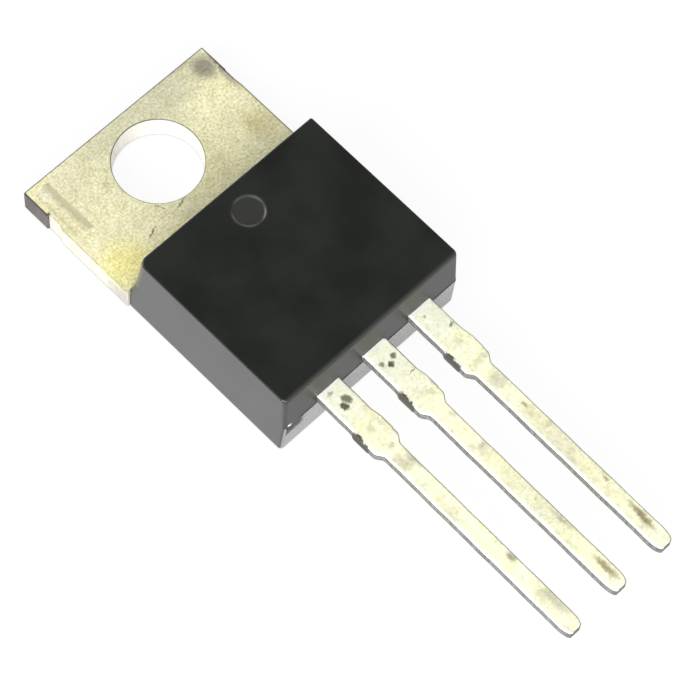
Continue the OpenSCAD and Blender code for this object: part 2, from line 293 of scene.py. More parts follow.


# %% [markdown]
# ## The tin on the copper
# The copper is plated with matte tin: a pale, slightly yellow metal with a fine grain, which has aged
# unevenly. A mirror-like metal would be wrong here, so the shader mixes a rough metal with some
# plain scatter. The sheared edges, where the press cut through the strip, are dull and dark; on the
# leads their dark tone is also painted shade, for the shaded ground under the leads that the sides
# mirror.

# %% Tones of the tin
TAB_TIN = (0.77, 0.74, 0.49, 1.0)
TAB_WARM = (0.76, 0.72, 0.43, 1.0)
LEAD_TIN = (0.96, 0.96, 0.71, 1.0)
LEAD_WARM = (0.94, 0.93, 0.62, 1.0)
# painted light: lightens the leads' wide parts against the moulding's shade
LEAD_PAINTED_LIGHT = (1.0, 1.0, 0.80, 1.0)
# painted sheen: the next two tones stand for the white ground mirrored in the walls, and for the leads'
# painted highlight
TAB_PAINTED_SHEEN = (0.83, 0.81, 0.76, 1.0)
LEAD_PAINTED_HIGHLIGHT = (1.0, 1.0, 0.97, 1.0)
# painted highlight: bright spots at the tab's far corner and by the coined band
TAB_PAINTED_HIGHLIGHT = (0.97, 0.95, 0.93, 1.0)
YELLOW = (0.88, 0.81, 0.33, 1.0)
# straw: a tint on the leads, and painted light on the tab
STRAW_TINT_AND_LIGHT = (0.88, 0.85, 0.55, 1.0)
# dull tin, and painted shade: darker at the tab's far end and along the leads' thin parts
DULL_TIN_AND_SHADE = (0.59, 0.575, 0.40, 1.0)
SMUDGE = (0.22, 0.20, 0.16, 1.0)
BROWN = (0.24, 0.20, 0.09, 1.0)
OCHRE = (0.60, 0.50, 0.22, 1.0)
TARNISH = (0.46, 0.43, 0.26, 1.0)
OLIVE = (0.09, 0.085, 0.03, 1.0)
PIT = (0.03, 0.029, 0.018, 1.0)
CUT_TAB = (0.09, 0.077, 0.073, 1.0)
# dark sides of the leads: sheared metal and painted shade of the ground below
CUT_LEAD_AND_SHADE = (0.2, 0.2, 0.19, 1.0)
EDGE_LINE = (0.03, 0.028, 0.022, 1.0)

# %% Marks and mottling
GRAIN_SIZE = 0.115
COARSE_SIZE = 4 * GRAIN_SIZE
COARSE_SHARE = 0.4
SPECK_RANGE = (0.45, 0.95)
BLUE_SHARE = 1.5
WALL_CALM = 0.8


def lay_marks(f, tone, place, marks, amount=1.0):
    """The tone with each list of ovals laid over it in its colour, times the amount."""
    for colour, ovals in marks:
        tone = f.blend(f.math("MULTIPLY", f.spots(place, ovals), amount), tone, colour)
    return tone


def mottled(f, tone, painted_sheen_wall, mottle):
    """A fine and a coarse noise make specks from 0 to 1, which multiply red and green by 1 - mottle
    to 1 + mottle, and blue by more either way. Walls with the painted sheen keep little of it."""
    coarse = f.math("MULTIPLY", f.noise(COARSE_SIZE, 3.0), COARSE_SHARE)
    speck = f.contrast(f.math("ADD", f.noise(GRAIN_SIZE, 3.0), coarse), *SPECK_RANGE)
    level, blue = (f.math("ADD", f.math("MULTIPLY", speck, 2.0 * swing), 1.0 - swing)
                   for swing in (mottle, BLUE_SHARE * mottle))
    grains = f.add("ShaderNodeCombineColor", i0=level, i1=level, i2=blue).outputs[0]
    amount = f.math("SUBTRACT", 1.0, f.math("MULTIPLY", painted_sheen_wall, WALL_CALM))
    return f.blend(amount, tone, grains, "MULTIPLY")


# %% Tin finish
CLOUD_SIZE = 1.7
CLOUD_RANGE = (0.35, 0.7)
TARNISH_SIZE = 0.55
TARNISH_RANGE = (0.5, 0.68)
MARK_LUMPS = 0.14
MARK_REACH = 0.13
MARK_FADE = 0.15
SHEAR_SIZE = 0.1
SHEAR_STRETCH = (1.0, 1.0, 6.0)
SHEAR_SHADE = 0.5
WALL_SIZE = 0.12
WALL_STRETCH = (1.0, 14.0, 1.0)
WALL_RANGE = (0.45, 0.75)
WALL_WARMTH = 0.35
TIN_ROUGHNESS = (0.42, 0.54)
METAL_SHARE = 0.3
BUMP_FINE = 0.08
BUMP_COARSE = 0.4


def tin_finish(name, tones, broad, marks, marks_from, grain, mottle, tarnish):
    """Matte tin, layer by layer: clean and warm tones in clouds, tarnish, broad marks with painted
    light and shade among them, sheared metal with upright streaks, walls with a painted sheen that
    stands for the white ground's reflection and has streaks along it, marks on the side above
    marks_from, mottling, and a dark line where the mesh asks for one."""
    clean, warm, painted_sheen, cut_tone = tones
    f = Finish(name)
    cloud = f.noise(CLOUD_SIZE, 3.0)
    tone = f.blend(f.ramp(cloud, *CLOUD_RANGE), clean, warm)
    tone = f.blend(f.ramp(f.noise(TARNISH_SIZE, 5.0), *TARNISH_RANGE, 0.0, tarnish), tone, TARNISH)
    uneven = f.ragged(MARK_LUMPS, MARK_REACH)
    tone = lay_marks(f, tone, uneven, broad)
    cut = f.attribute("cut")
    streaks = f.ramp(f.noise(SHEAR_SIZE, 3.0, SHEAR_STRETCH), 0.3, 0.7)
    shaded = tuple(SHEAR_SHADE * c for c in cut_tone[:3]) + (1.0,)
    tone = f.blend(cut, tone, f.blend(streaks, shaded, cut_tone))
    # painted sheen: where the mesh asks, the tin is lightened as if it mirrored the white ground
    painted_sheen_wall = f.attribute("painted_sheen")
    along = f.ramp(f.noise(WALL_SIZE, 3.0, WALL_STRETCH), *WALL_RANGE)
    tone = f.blend(painted_sheen_wall, tone, f.blend(f.math("MULTIPLY", along, WALL_WARMTH), painted_sheen, warm))
    height = f.add("ShaderNodeSeparateXYZ", Vector=f.place).outputs["Z"]
    upper = f.ramp(height, marks_from * MM, (marks_from + MARK_FADE) * MM)
    tone = mottled(f, lay_marks(f, tone, uneven, marks, upper), painted_sheen_wall, mottle)
    tone = f.blend(f.attribute("line"), tone, EDGE_LINE)
    f.join(tone, f.shader.inputs["Base Color"])
    f.join(f.ramp(cloud, 0.3, 0.7, *TIN_ROUGHNESS), f.shader.inputs["Roughness"])
    f.join(f.math("MULTIPLY", f.math("SUBTRACT", 1.0, cut), METAL_SHARE), f.shader.inputs["Metallic"])
    coarse = f.math("MULTIPLY", f.noise(BUMP_COARSE, 2.0), 2.0)
    f.join(f.bump(f.math("ADD", f.noise(BUMP_FINE, 2.0), coarse), grain), f.shader.inputs["Normal"])
    return f


# %% [markdown]
# ### Marks on the tin
# The stains, pits and burrs have their own places on the real part, and some broad ovals are
# painted light and painted shade. Each mark is an oval: its middle
# x and y, half width and half length in millimetres, turn in degrees, softness and strength. They
# could be painted as a picture, but ovals with a ragged outline stay sharp at any distance. Broad
# marks lie under the sheared edges, and the others over them.

# %% Marks on the tab
tab_broad = [
    # painted light: these straw ovals lighten the tab where the moulding's shade falls
    (STRAW_TINT_AND_LIGHT, [(-2.6, -1.6, 3.2, 2.6, 0, 0.9, 0.8), (3.4, -0.5, 2.2, 2.8, 0, 0.6, 0.7)]),
    # painted shade: the broad oval darkens the tab's far end
    (DULL_TIN_AND_SHADE, [(1.0, 2.4, 5.0, 1.8, 0, 0.7, 0.85), (-3.2, 1.6, 1.2, 0.8, 0, 0.9, 0.3)]),
    # painted highlights: a bright spot at the tab's far corner and one by the coined band
    (TAB_PAINTED_HIGHLIGHT, [(4.93, 2.6, 0.14, 0.14, 0, 0.5, 0.9), (-4.4, 2.0, 0.5, 0.5, 0, 0.9, 0.3)]),
]
tab_marks = [
    (SMUDGE, [(4.4, 1.9, 0.75, 0.9, 20, 0.8, 0.85), (4.85, 1.0, 0.3, 1.2, 0, 0.8, 0.55),
              (3.6, 2.6, 1.1, 0.2, 0, 0.9, 0.4), (-4.9, -3.0, 0.16, 1.1, 0, 0.9, 0.45)]),
    (YELLOW, [(-4.1, -2.5, 1.6, 1.6, 0, 0.8, 0.9), (-1.8, -3.3, 2.6, 0.7, 0, 0.8, 0.7),
              (2.4, -3.4, 2.6, 0.5, 0, 0.9, 0.6)]),
    (OCHRE, [(4.2, -1.5, 0.9, 1.2, 15, 0.9, 0.6)]),
    (PIT, [(-2.4, -2.22, 0.36, 0.04, 22, 0.5, 0.7), (-0.6, -2.04, 0.44, 0.04, 15, 0.5, 0.7),
           (-1.39, -1.6, 0.05, 0.36, 25, 0.5, 0.6), (-1.39, -1.25, 0.1, 0.08, 25, 0.5, 0.8),
           (4.97, 1.5, 0.16, 1.3, 0, 0.9, 0.85)]),
]
print("marks on the tab:", sum(len(ovals) for _, ovals in tab_broad + tab_marks))

# %% Marks on the leads
lead_broad = [
    # painted light: the wide parts next to the moulding are lightened against its shade
    (LEAD_PAINTED_LIGHT, [(-2.4, -13.0, 1.2, 1.6, 0, 0.6, 0.9), (0.1, -13.0, 1.2, 1.6, 0, 0.6, 0.9),
                   (2.6, -13.0, 1.2, 1.6, 0, 0.6, 0.9)]),
    # partly dull tin, partly painted shade that keeps the thin parts darker than the wide ones
    (DULL_TIN_AND_SHADE, [(-2.5, -16.8, 0.5, 0.5, 0, 0.8, 0.8), (-2.4, -24.6, 0.5, 1.6, 0, 0.9, 0.4),
            (0.15, -18.6, 0.5, 0.8, 0, 0.8, 0.6), (0.15, -21.6, 0.7, 3.6, 0, 0.6, 0.4),
            (2.6, -16.8, 0.5, 0.6, 0, 0.8, 0.8), (2.6, -21.0, 0.7, 4.2, 0, 0.6, 0.45)]),
    (STRAW_TINT_AND_LIGHT, [(2.66, -21.8, 0.35, 1.3, 0, 0.8, 0.8), (0.1, -18.9, 0.3, 0.6, 0, 0.8, 0.6),
             (0.1, -21.4, 0.3, 0.5, 0, 0.8, 0.6)]),
]
lead_marks = [
    (SMUDGE, [(-2.62, -12.68, 0.26, 0.14, 0, 0.8, 0.6), (-2.15, -16.9, 0.22, 0.7, 0, 0.8, 0.4),
              (-2.33, -22.4, 0.2, 0.36, 0, 0.8, 0.7), (-2.36, -24.9, 0.22, 1.2, 0, 0.8, 0.35),
              (0.22, -22.6, 0.16, 0.8, 0, 0.8, 0.5), (0.2, -18.35, 0.3, 0.14, 0, 0.9, 0.4),
              (-2.0, -14.9, 0.14, 0.5, 0, 0.8, 0.3), (0.72, -15.2, 0.14, 0.4, 0, 0.8, 0.4),
              (0.3, -16.6, 0.14, 0.4, 0, 0.8, 0.3), (-2.4, -15.9, 0.3, 0.2, 30, 0.8, 0.25)]),
    (BROWN, [(0.06, -25.2, 0.24, 1.0, 0, 0.8, 0.8), (2.62, -24.7, 0.22, 1.2, -4, 0.8, 0.9),
             (2.73, -22.67, 0.12, 0.24, 0, 0.8, 0.8), (2.66, -18.25, 0.12, 0.26, 0, 0.8, 0.7),
             (0.12, -21.35, 0.2, 0.1, 30, 0.8, 0.4)]),
    (OLIVE, [(-2.28, -13.28, 0.22, 0.32, 20, 0.5, 0.85), (-2.55, -13.46, 0.2, 0.28, 10, 0.5, 0.95),
             (0.37, -13.2, 0.2, 0.17, 0, 0.6, 0.85), (0.07, -13.42, 0.18, 0.2, 0, 0.5, 0.95),
             (-0.23, -13.18, 0.17, 0.13, 0, 0.6, 0.75), (0.47, -14.2, 0.36, 0.03, 8, 0.6, 0.7),
             (2.47, -12.84, 0.1, 0.12, 0, 0.6, 0.5), (3.05, -13.8, 0.2, 0.07, 30, 0.6, 0.7)]),
    (PIT, [(-3.14, -14.75, 0.17, 0.42, 0, 0.5, 0.95), (-3.22, -15.15, 0.2, 0.42, 0, 0.5, 0.95),
           (-0.6, -14.78, 0.17, 0.42, 0, 0.5, 0.95), (-0.66, -15.15, 0.19, 0.38, 0, 0.5, 0.95),
           (1.95, -14.8, 0.15, 0.4, 0, 0.5, 0.95), (1.9, -15.15, 0.17, 0.38, 0, 0.5, 0.95)]),
]
print("marks on the leads:", sum(len(ovals) for _, ovals in lead_broad + lead_marks))

# %% Tab tin and lead tin
tab_tin = tin_finish("tab tin", (TAB_TIN, TAB_WARM, TAB_PAINTED_SHEEN, CUT_TAB), tab_broad, tab_marks,
                     marks_from=0.95, grain=0.012, mottle=0.25, tarnish=0.22)
lead_tin = tin_finish("lead tin", (LEAD_TIN, LEAD_WARM, LEAD_PAINTED_HIGHLIGHT, CUT_LEAD_AND_SHADE), lead_broad, lead_marks,
                      marks_from=2.08, grain=0.008, mottle=0.14, tarnish=0.4)
print("nodes in the tab's and the leads' tin:", len(tab_tin.tree.nodes), len(lead_tin.tree.nodes))

# %% [markdown]
# ### The coined band
# Along the gate side of the tab a punch has pressed a shallow band, three hundredths of a millimetre
# deep. The tab's mesh carries the recess, and the finish darkens its floor: partly the dull metal
# there, partly painted shade of the recess, which grows from left to right.

# %% Coined band
BAND = (-4.75, -3.95, -0.37, 2.33)
BAND_DEPTH = 0.03
BAND_TONE_AND_SHADE = (0.42, 0.39, 0.25, 1.0)
BAND_LUMPS = 0.25
BAND_REACH = 0.06
BAND_SOFT = 0.06
BAND_SHADE_FROM = 0.25
BAND_SHADE = (0.1, 1.0)
BAND_HEIGHTS = (0.8, 1.0)


def coined_band(f):
    """Lays the band's floor over a finish: dull metal with painted shade, darker from left to right,
    and only above the heights.
    """
    left, right, low, high = BAND
    place = f.ragged(BAND_LUMPS, BAND_REACH)
    x, _, z = f.add("ShaderNodeSeparateXYZ", Vector=place).outputs
    upper = f.ramp(z, *(height * MM for height in BAND_HEIGHTS))
    floor = f.math("MULTIPLY", f.patch(place, left, right, low, high, BAND_SOFT), upper)
    # painted shade: stronger towards the band's right side
    recess_shade = f.ramp(x, (left + BAND_SHADE_FROM) * MM, right * MM, *BAND_SHADE)
    socket = f.shader.inputs["Base Color"]
    tone = socket.links[0].from_socket
    f.join(f.blend(f.math("MULTIPLY", floor, recess_shade), tone, BAND_TONE_AND_SHADE), socket)


coined_band(tab_tin)
print("coined band:", round(BAND[1] - BAND[0], 2), "by", round(BAND[3] - BAND[2], 2), "mm")

# %% [markdown]
# ## The resin
# The moulding is black epoxy filled with silica powder. It is dark, but it isn't dull: seen at a
# low angle its walls mirror the pale ground, while the front face stays nearly black. A fine bump
# stands for the texture of the mould. On the leads' end, the wall below the parting line gets a
# painted reflection of the ground, and the runner's scar a painted glint.

# %% Resin finish
RESIN = (0.008, 0.009, 0.008, 1.0)
RESIN_PALE = (0.014, 0.016, 0.013, 1.0)
FRACTURE = (0.05, 0.05, 0.048, 1.0)
RESIN_PAINTED_LIGHT = (0.95, 0.95, 0.95, 1.0)
PIN_GREY = (0.09, 0.09, 0.08, 1.0)
RESIN_CLOUD = 2.5
RESIN_GRAIN = 0.06
RESIN_BUMP = 0.004
RESIN_ROUGHNESS = (0.2, 0.27)
SHADED_ROUGHNESS = 0.21
BROKEN_ROUGHNESS = 0.6
LOWER_WALL_REFLECTION = 0.15
RESIN_IOR = 1.6

resin = Finish("black resin")
resin_cloud = resin.noise(RESIN_CLOUD, 3.0)
resin_grain = resin.noise(RESIN_GRAIN, 2.0)
resin_tone = resin.blend(resin.ramp(resin_cloud, 0.3, 0.7), RESIN, RESIN_PALE)
# painted reflection: the lower part of the leads' end is lightened as if it mirrored the white ground
lower_wall = resin.math("MULTIPLY", resin.attribute("lower"), LOWER_WALL_REFLECTION)
broken = resin.attribute("broken")
for amount, colour in ((lower_wall, RESIN_PAINTED_LIGHT), (broken, FRACTURE), (resin.attribute("glint"), RESIN_PAINTED_LIGHT),
                       (resin.attribute("pin"), PIN_GREY)):
    resin_tone = resin.blend(amount, resin_tone, colour)
resin.join(resin_tone, resin.shader.inputs["Base Color"])
smooth = resin.ramp(resin_grain, 0.3, 0.7, *RESIN_ROUGHNESS)
rough = resin.math("MAXIMUM", resin.math("MULTIPLY", broken, BROKEN_ROUGHNESS),
                   resin.math("MULTIPLY", resin.attribute("shaded"), SHADED_ROUGHNESS))
resin.join(resin.math("ADD", smooth, rough), resin.shader.inputs["Roughness"])
resin.shader.inputs["IOR"].default_value = RESIN_IOR
resin.join(resin.bump(resin_grain, RESIN_BUMP), resin.shader.inputs["Normal"])
print("finishes:", [m.name for m in (tab_tin.material, lead_tin.material, resin.material)])

# %% [markdown]
# ## The stamped leads
# A press stamps the leads out of a strip half a millimetre thick, so each one is a flat bar whose
# width changes along its length: wide at the moulding, wider at the stubs where the dam bar was cut
# off, then a neck, a thin part and a point. One cross-section carried along the lead makes the whole
# of it. Its upper edges are rolled over by the punch and its lower edges stay sharp.

# %% Cross-section of a stamped strip
LEAD_T = 0.51
ROLLED_R = 0.085
BURR_R = 0.025
ROLL_STEPS = 6
BURR_STEPS = 3
SIDE_POINTS = 5
FLAT_POINTS = 7
CUT_FROM = 0.75
RIGHT_LINE = (0.1, 0.5)
LEFT_LINE_FROM = 0.7
LEFT_LINE = 0.6
BURR_LINE = 0.8
BRIGHT_TO = 0.8
BRIGHT_FADE = 0.3
UNDER_CUT = 0.3


def strip_section():
    """The section's outline, walked round once, as six arrays. across is -1 to 1 of the half width,
    inset is how far in from the edge in millimetres, and up is the height above the underside. A
    rolled edge of radius r runs through inset = r (1 - cos a) and drop = r (1 - sin a). The marks are
    cut for sheared metal, whose dark tone on the sides is also painted shade, line for dark lines
    along its edges, and the sheen mark for a painted highlight on the left rolled edge."""
    a = np.linspace(np.pi / 2, 0, ROLL_STEPS)
    b = np.linspace(0, np.pi / 2, BURR_STEPS)
    side = np.linspace(LEAD_T - ROLLED_R, BURR_R, SIDE_POINTS + 2)[1:-1]
    inset = np.concatenate([ROLLED_R * (1 - np.cos(a)), 0 * side, BURR_R * (1 - np.cos(b))])
    up = np.concatenate([LEAD_T - ROLLED_R * (1 - np.sin(a)), side, BURR_R * (1 - np.sin(b))])
    rolled = 1 - a / (np.pi / 2)
    cut = np.concatenate([smooth_step(CUT_FROM, 1.0, rolled), 0 * side + 1, 0 * b + 1])
    right_line = np.concatenate([smooth_step(*RIGHT_LINE, rolled), 0 * side, 0 * b])
    left_line = np.concatenate([LEFT_LINE * smooth_step(LEFT_LINE_FROM, 1.0, rolled), 0 * side,
                                0 * b + BURR_LINE])
    painted_highlight = np.concatenate([smooth_step(0, BRIGHT_FADE, BRIGHT_TO - rolled), 0 * side, 0 * b])
    flat = np.linspace(-1, 1, FLAT_POINTS + 2)[1:-1]
    none = 0 * flat
    ones = np.ones_like(up)
    across = np.concatenate([ones, flat[::-1], -ones[::-1], flat])
    inset = np.concatenate([inset, none, inset[::-1], none])
    up = np.concatenate([up, none, up[::-1], none + LEAD_T])
    cut = np.concatenate([cut, none + UNDER_CUT, cut[::-1], none])
    line = np.concatenate([right_line, none, left_line[::-1], none])
    painted_sheen = np.concatenate([0 * painted_highlight, none, painted_highlight[::-1], none])
    return across, inset, up, cut, line, painted_sheen


print("points round a strip:", len(strip_section()[0]))

# %% [markdown]
# ### The outline of a lead
# The sizes are the CAD model's. The half width starts from the wide part and changes by smooth steps
# on either side of the stub, and the neck between the hip and the thin part is half a wave. The
# sheared edges get a slight unevenness, as a worn die leaves.

# %% Lead outline
PITCH = 2.54
LEAD_Z = 2.08
BODY_END = -12.43
DAM_START = -14.46
DAM_STOP = -15.36
NECK_STOP = -16.13
NECK_LEN = 0.5
TIP_END = -26.21
TIP_LEN = 0.62
WIDE_HALF = 0.62
DAM_HALF = 0.70
HIP_HALF = 0.67
THIN_HALF = 0.425
TIP_HALF = 0.22
TIP_LIMIT = 0.9999
STUB_EASE = 0.12
STUB_EASE_RIGHT = 0.3
HIP_EASE = 0.02


def lead_half_width(y, ease):
    """Half width at y: a slope of length ease each way to the dam bar's stub and a step back, a
    half-wave neck, then a straight part that ends in a quarter of an ellipse."""
    half = np.full_like(y, WIDE_HALF)
    half += (DAM_HALF - WIDE_HALF) * smooth_step(-ease, ease, DAM_START - y)
    half += (HIP_HALF - DAM_HALF) * smooth_step(-HIP_EASE, HIP_EASE, DAM_STOP - y)
    neck = np.clip((NECK_STOP + NECK_LEN - y) / NECK_LEN, 0, 1)
    half += (THIN_HALF - HIP_HALF) * (1 - np.cos(np.pi * neck)) / 2
    tip = np.clip((TIP_END + TIP_LEN - y) / TIP_LEN, 0, TIP_LIMIT)
    return half - (THIN_HALF - TIP_HALF) * (1 - np.sqrt(1 - tip ** 2))


# %% Stations and edges of a lead
STATION_RUNS = [
    (BODY_END, DAM_START + 0.1, 30),
    (DAM_START + 0.09, DAM_START - 0.09, 13),
    (DAM_START - 0.12, DAM_STOP + 0.1, 15),
    (DAM_STOP + 0.09, DAM_STOP - 0.09, 13),
    (DAM_STOP - 0.11, NECK_STOP - 0.05, 20),
    (NECK_STOP - 0.1, TIP_END + TIP_LEN + 0.1, 120),
]
TIP_STATIONS = 16
POST_START = -11.96
LEAN_START = 0.114
LEAN = np.tan(np.radians(0.76))
SHEAR_WAVE = 0.008


def lead_stations():
    """Places along a lead outside the moulding, closer together where its outline turns."""
    runs = [np.linspace(start, stop, count) for start, stop, count in STATION_RUNS]
    tip = TIP_END + TIP_LEN * (1 - np.sin(np.linspace(0, np.pi / 2, TIP_STATIONS)))
    return np.concatenate(runs + [tip])


def lead_edges(y, middle, seed):
    """Left and right edges of a lead about its middle, with the slight unevenness of a sheared edge.
    Outside the moulding the lead stands a little to the source side and leans back the other way."""
    left = lead_half_width(y, STUB_EASE)
    right = lead_half_width(y, STUB_EASE_RIGHT)
    lean = LEAN_START * smooth_step(0, POST_START - BODY_END, POST_START - y) - LEAN * (BODY_END - y)
    centre = middle + np.where(y < POST_START, lean, 0.0)
    return centre - left + wobble(y, seed, SHEAR_WAVE), centre + right + wobble(y, seed + 1, SHEAR_WAVE)


print("stations along a lead:", len(lead_stations()))

# %% [markdown]
# ### A strip from its section and its outline
# The section follows the outline from station to station, and flat faces close both ends. The cut
# tip is dark, the sheared sides grow darker towards it, and right beside the moulding the face gets
# painted light against the shade that the moulding casts.

# %% Strip along an outline
TIP_DARK = 0.75
TIP_SIDES = 0.6
TIP_FADE = 0.3
TIP_REACH = 0.35
ROOT_FADE = 0.08
ROOT_REACH = 0.16
FACE_GAP = 0.01


def strip_part(y, left, right, under, finish=0):
    """The section carried along y: at each station the strip spans left to right and its underside
    is at height under. x = middle + across * (half width - inset)."""
    across, inset, up, cut, line, painted_sheen = strip_section()
    middle = (left + right)[:, None] / 2
    half = (right - left)[:, None] / 2
    x = middle + across * np.maximum(half - inset, 0.0)
    z = under[:, None] + up
    y = np.broadcast_to(y[:, None], x.shape)
    points = np.stack([x, y, z], axis=-1).reshape(-1, 3)
    near_tip = smooth_step(0, TIP_FADE, TIP_END + TIP_REACH - y)
    line = np.maximum(line, TIP_SIDES * TIP_DARK * cut * near_tip)
    line[-1] = TIP_DARK
    cut = cut * np.ones_like(x)
    cut[-1] = 1
    # painted light: the face beside the moulding is lightened against the moulding's shade
    painted_light_near_body = smooth_step(0, ROOT_FADE, y - BODY_END + ROOT_REACH)
    painted_sheen = np.maximum(painted_sheen, painted_light_near_body * (up > LEAD_T - FACE_GAP))
    stations, n = x.shape
    quads = grid_faces(stations, n, join_columns=True)
    ends = [np.arange(n), np.arange(n)[::-1] + (stations - 1) * n]
    if signed_volume(points, quads) < 0:
        ends = [loop[::-1] for loop in ends]
    return {"points": points, "quads": quads, "ends": ends, "finish": finish,
            "marks": {"cut": cut, "line": line, "painted_sheen": painted_sheen}}


# %% [markdown]
# ### The outer leads
# Inside the moulding each outer lead widens into a T-shaped post, where the bond wires end and
# which locks the lead in the resin. It is the same strip, so the same section runs on through it.

# %% Gate lead and source lead
POST_STOP = -10.46
POST_INNER = 1.22
POST_OUTER = 4.2
POST_STEP = 0.001


def outer_lead(name, side, seed):
    """The post, then the lead outside: side is -1 for the gate lead and 1 for the source lead."""
    post_y = np.array([POST_STOP, POST_START + POST_STEP, POST_START])
    inner = np.array([POST_INNER, POST_INNER, PITCH - WIDE_HALF])
    outer = np.array([POST_OUTER, POST_OUTER, PITCH + WIDE_HALF])
    low, high = (inner, outer) if side > 0 else (-outer, -inner)
    y = lead_stations()
    left, right = lead_edges(y, side * PITCH, seed)
    y = np.concatenate([post_y, y])
    left = np.concatenate([low, left])
    right = np.concatenate([high, right])
    part = strip_part(y, left, right, np.full_like(y, LEAD_Z))
    make_piece(name, [part], [lead_tin.material])


outer_lead("gate_lead", -1, 11)
outer_lead("source_lead", 1, 23)

# %% [markdown]
# ## The tab and the middle lead
# The tab, the pad under the chip and the middle lead are stamped and bent from one strip of two
# thicknesses. The tab and pad form a plate with a hole: its section, carried round the hole, makes
# the plate in one closed surface. The middle lead is the thin strip, which rises from the pad.

# %% Outline of the plate
TAB_HALF = 5.0
TAB_END = 2.68
TIE_STOP = 1.25
RELIEF = 0.1
SOURCE_RELIEF = 0.03
RELIEF_END = 0.3
RELIEF_RAMP = 0.317
SHOULDER = -3.53
PAD_HALF = 4.15
LIP = 0.25
LIP_Z = 0.6
PAD_END = -10.2
TAB_T = 1.27


def plate_corners(pad_half):
    """Corners on the source side from the tab's end to the pad's end, then back up the gate side."""
    sides = [np.array([
        [TAB_HALF, TAB_END], [TAB_HALF, TIE_STOP], [TAB_HALF - relief, TIE_STOP],
        [TAB_HALF - relief, RELIEF_END + RELIEF_RAMP], [TAB_HALF, RELIEF_END], [TAB_HALF, SHOULDER],
        [pad_half, SHOULDER], [pad_half, PAD_END]]) for relief in (SOURCE_RELIEF, RELIEF)]
    return np.concatenate([sides[0], sides[1][::-1] * [-1, 1]])


def inset_corners(corners, distance):
    """Corners moved inwards by the distance from both their sides: along the sum of the two inward
    normals m and n, by distance / (1 + m . n)."""
    ahead = np.roll(corners, -1, axis=0) - corners
    ahead /= np.linalg.norm(ahead, axis=1, keepdims=True)
    n = np.stack([ahead[:, 1], -ahead[:, 0]], axis=1)
    m = np.roll(n, 1, axis=0)
    return corners + (m + n) * distance / (1 + (m * n).sum(1, keepdims=True))


# %% Rounded outline
CORNER_POINTS = 7
CORNER_SHARE = 0.4
PLATE_CORNER_R = 0.06
EDGE_R = 0.08
SIDE_COUNTS = [26, 3, 10, 6, 70, 8, 60]
PAD_END_COUNT = 80
TAB_END_COUNT = 120


def walk_outline(corners, counts, radius):
    """Points along a closed outline, the given count on each side, with its corners rounded. A corner
    p becomes the quadratic curve (1 - t)^2 a + 2 t (1 - t) p + t^2 b between the points a and b that
    lie r from it on its two sides, where r is the radius, or less beside a short side."""
    lengths = np.linalg.norm(np.roll(corners, -1, axis=0) - corners, axis=1)
    reach = np.minimum(radius, CORNER_SHARE * np.minimum(lengths, np.roll(lengths, 1)))
    t = np.linspace(0, 1, CORNER_POINTS)[:, None]
    pieces = []
    for k, count in enumerate(counts):
        p, before, after = corners[k], corners[k - 1], corners[(k + 1) % len(corners)]
        along = (after - p) / lengths[k]
        a = p + (before - p) / lengths[k - 1] * reach[k]
        b = p + along * reach[k]
        last = lengths[k] - reach[(k + 1) % len(corners)]
        straight = p + along * np.linspace(reach[k], last, count + 2)[1:-1, None]
        pieces += [(1 - t) ** 2 * a + 2 * t * (1 - t) * p + t ** 2 * b, straight]
    return np.concatenate(pieces)


plate_counts = SIDE_COUNTS + [PAD_END_COUNT] + SIDE_COUNTS[::-1] + [TAB_END_COUNT]
lower_outline, upper_outline, lower_inset, upper_inset = (
    walk_outline(inset_corners(plate_corners(half), depth), plate_counts, PLATE_CORNER_R)
    for depth in (0.0, EDGE_R) for half in (PAD_HALF, PAD_HALF + LIP))
print("outline points:", len(lower_outline))

# %% [markdown]
# ### The plate's section round the hole
# The section is a rounded bar that reaches from the hole's wall to the outline. Every outline point
# has its own partner on the rim of the hole, at the same bearing from the hole's centre. Edges are
# eased a little, and the sheared walls carry the mark that darkens them. The tab is eased less
# strongly at the hole, whose smooth wall carries a painted sheen: the white ground's reflection.

# %% Section of the plate
HOLE_R = 1.93
RIM_R = 0.05
EASE_STEPS = 5
WALL_RINGS = 6
FACE_RINGS = 44
BACK_RINGS = 12
SIDE_HEIGHTS = (1.0, 0.8)
LIP_HEIGHTS = (0.4, 0.2)
RIM_STEEP = 0.95
RIM_LINE = 0.8
EDGE_STEEP = 0.9
EDGE_RISE = (0.1, 0.45)
EDGE_RISE_FROM = 0.3
UNDER_EASE = 0.7
BURR_TONE = 0.7


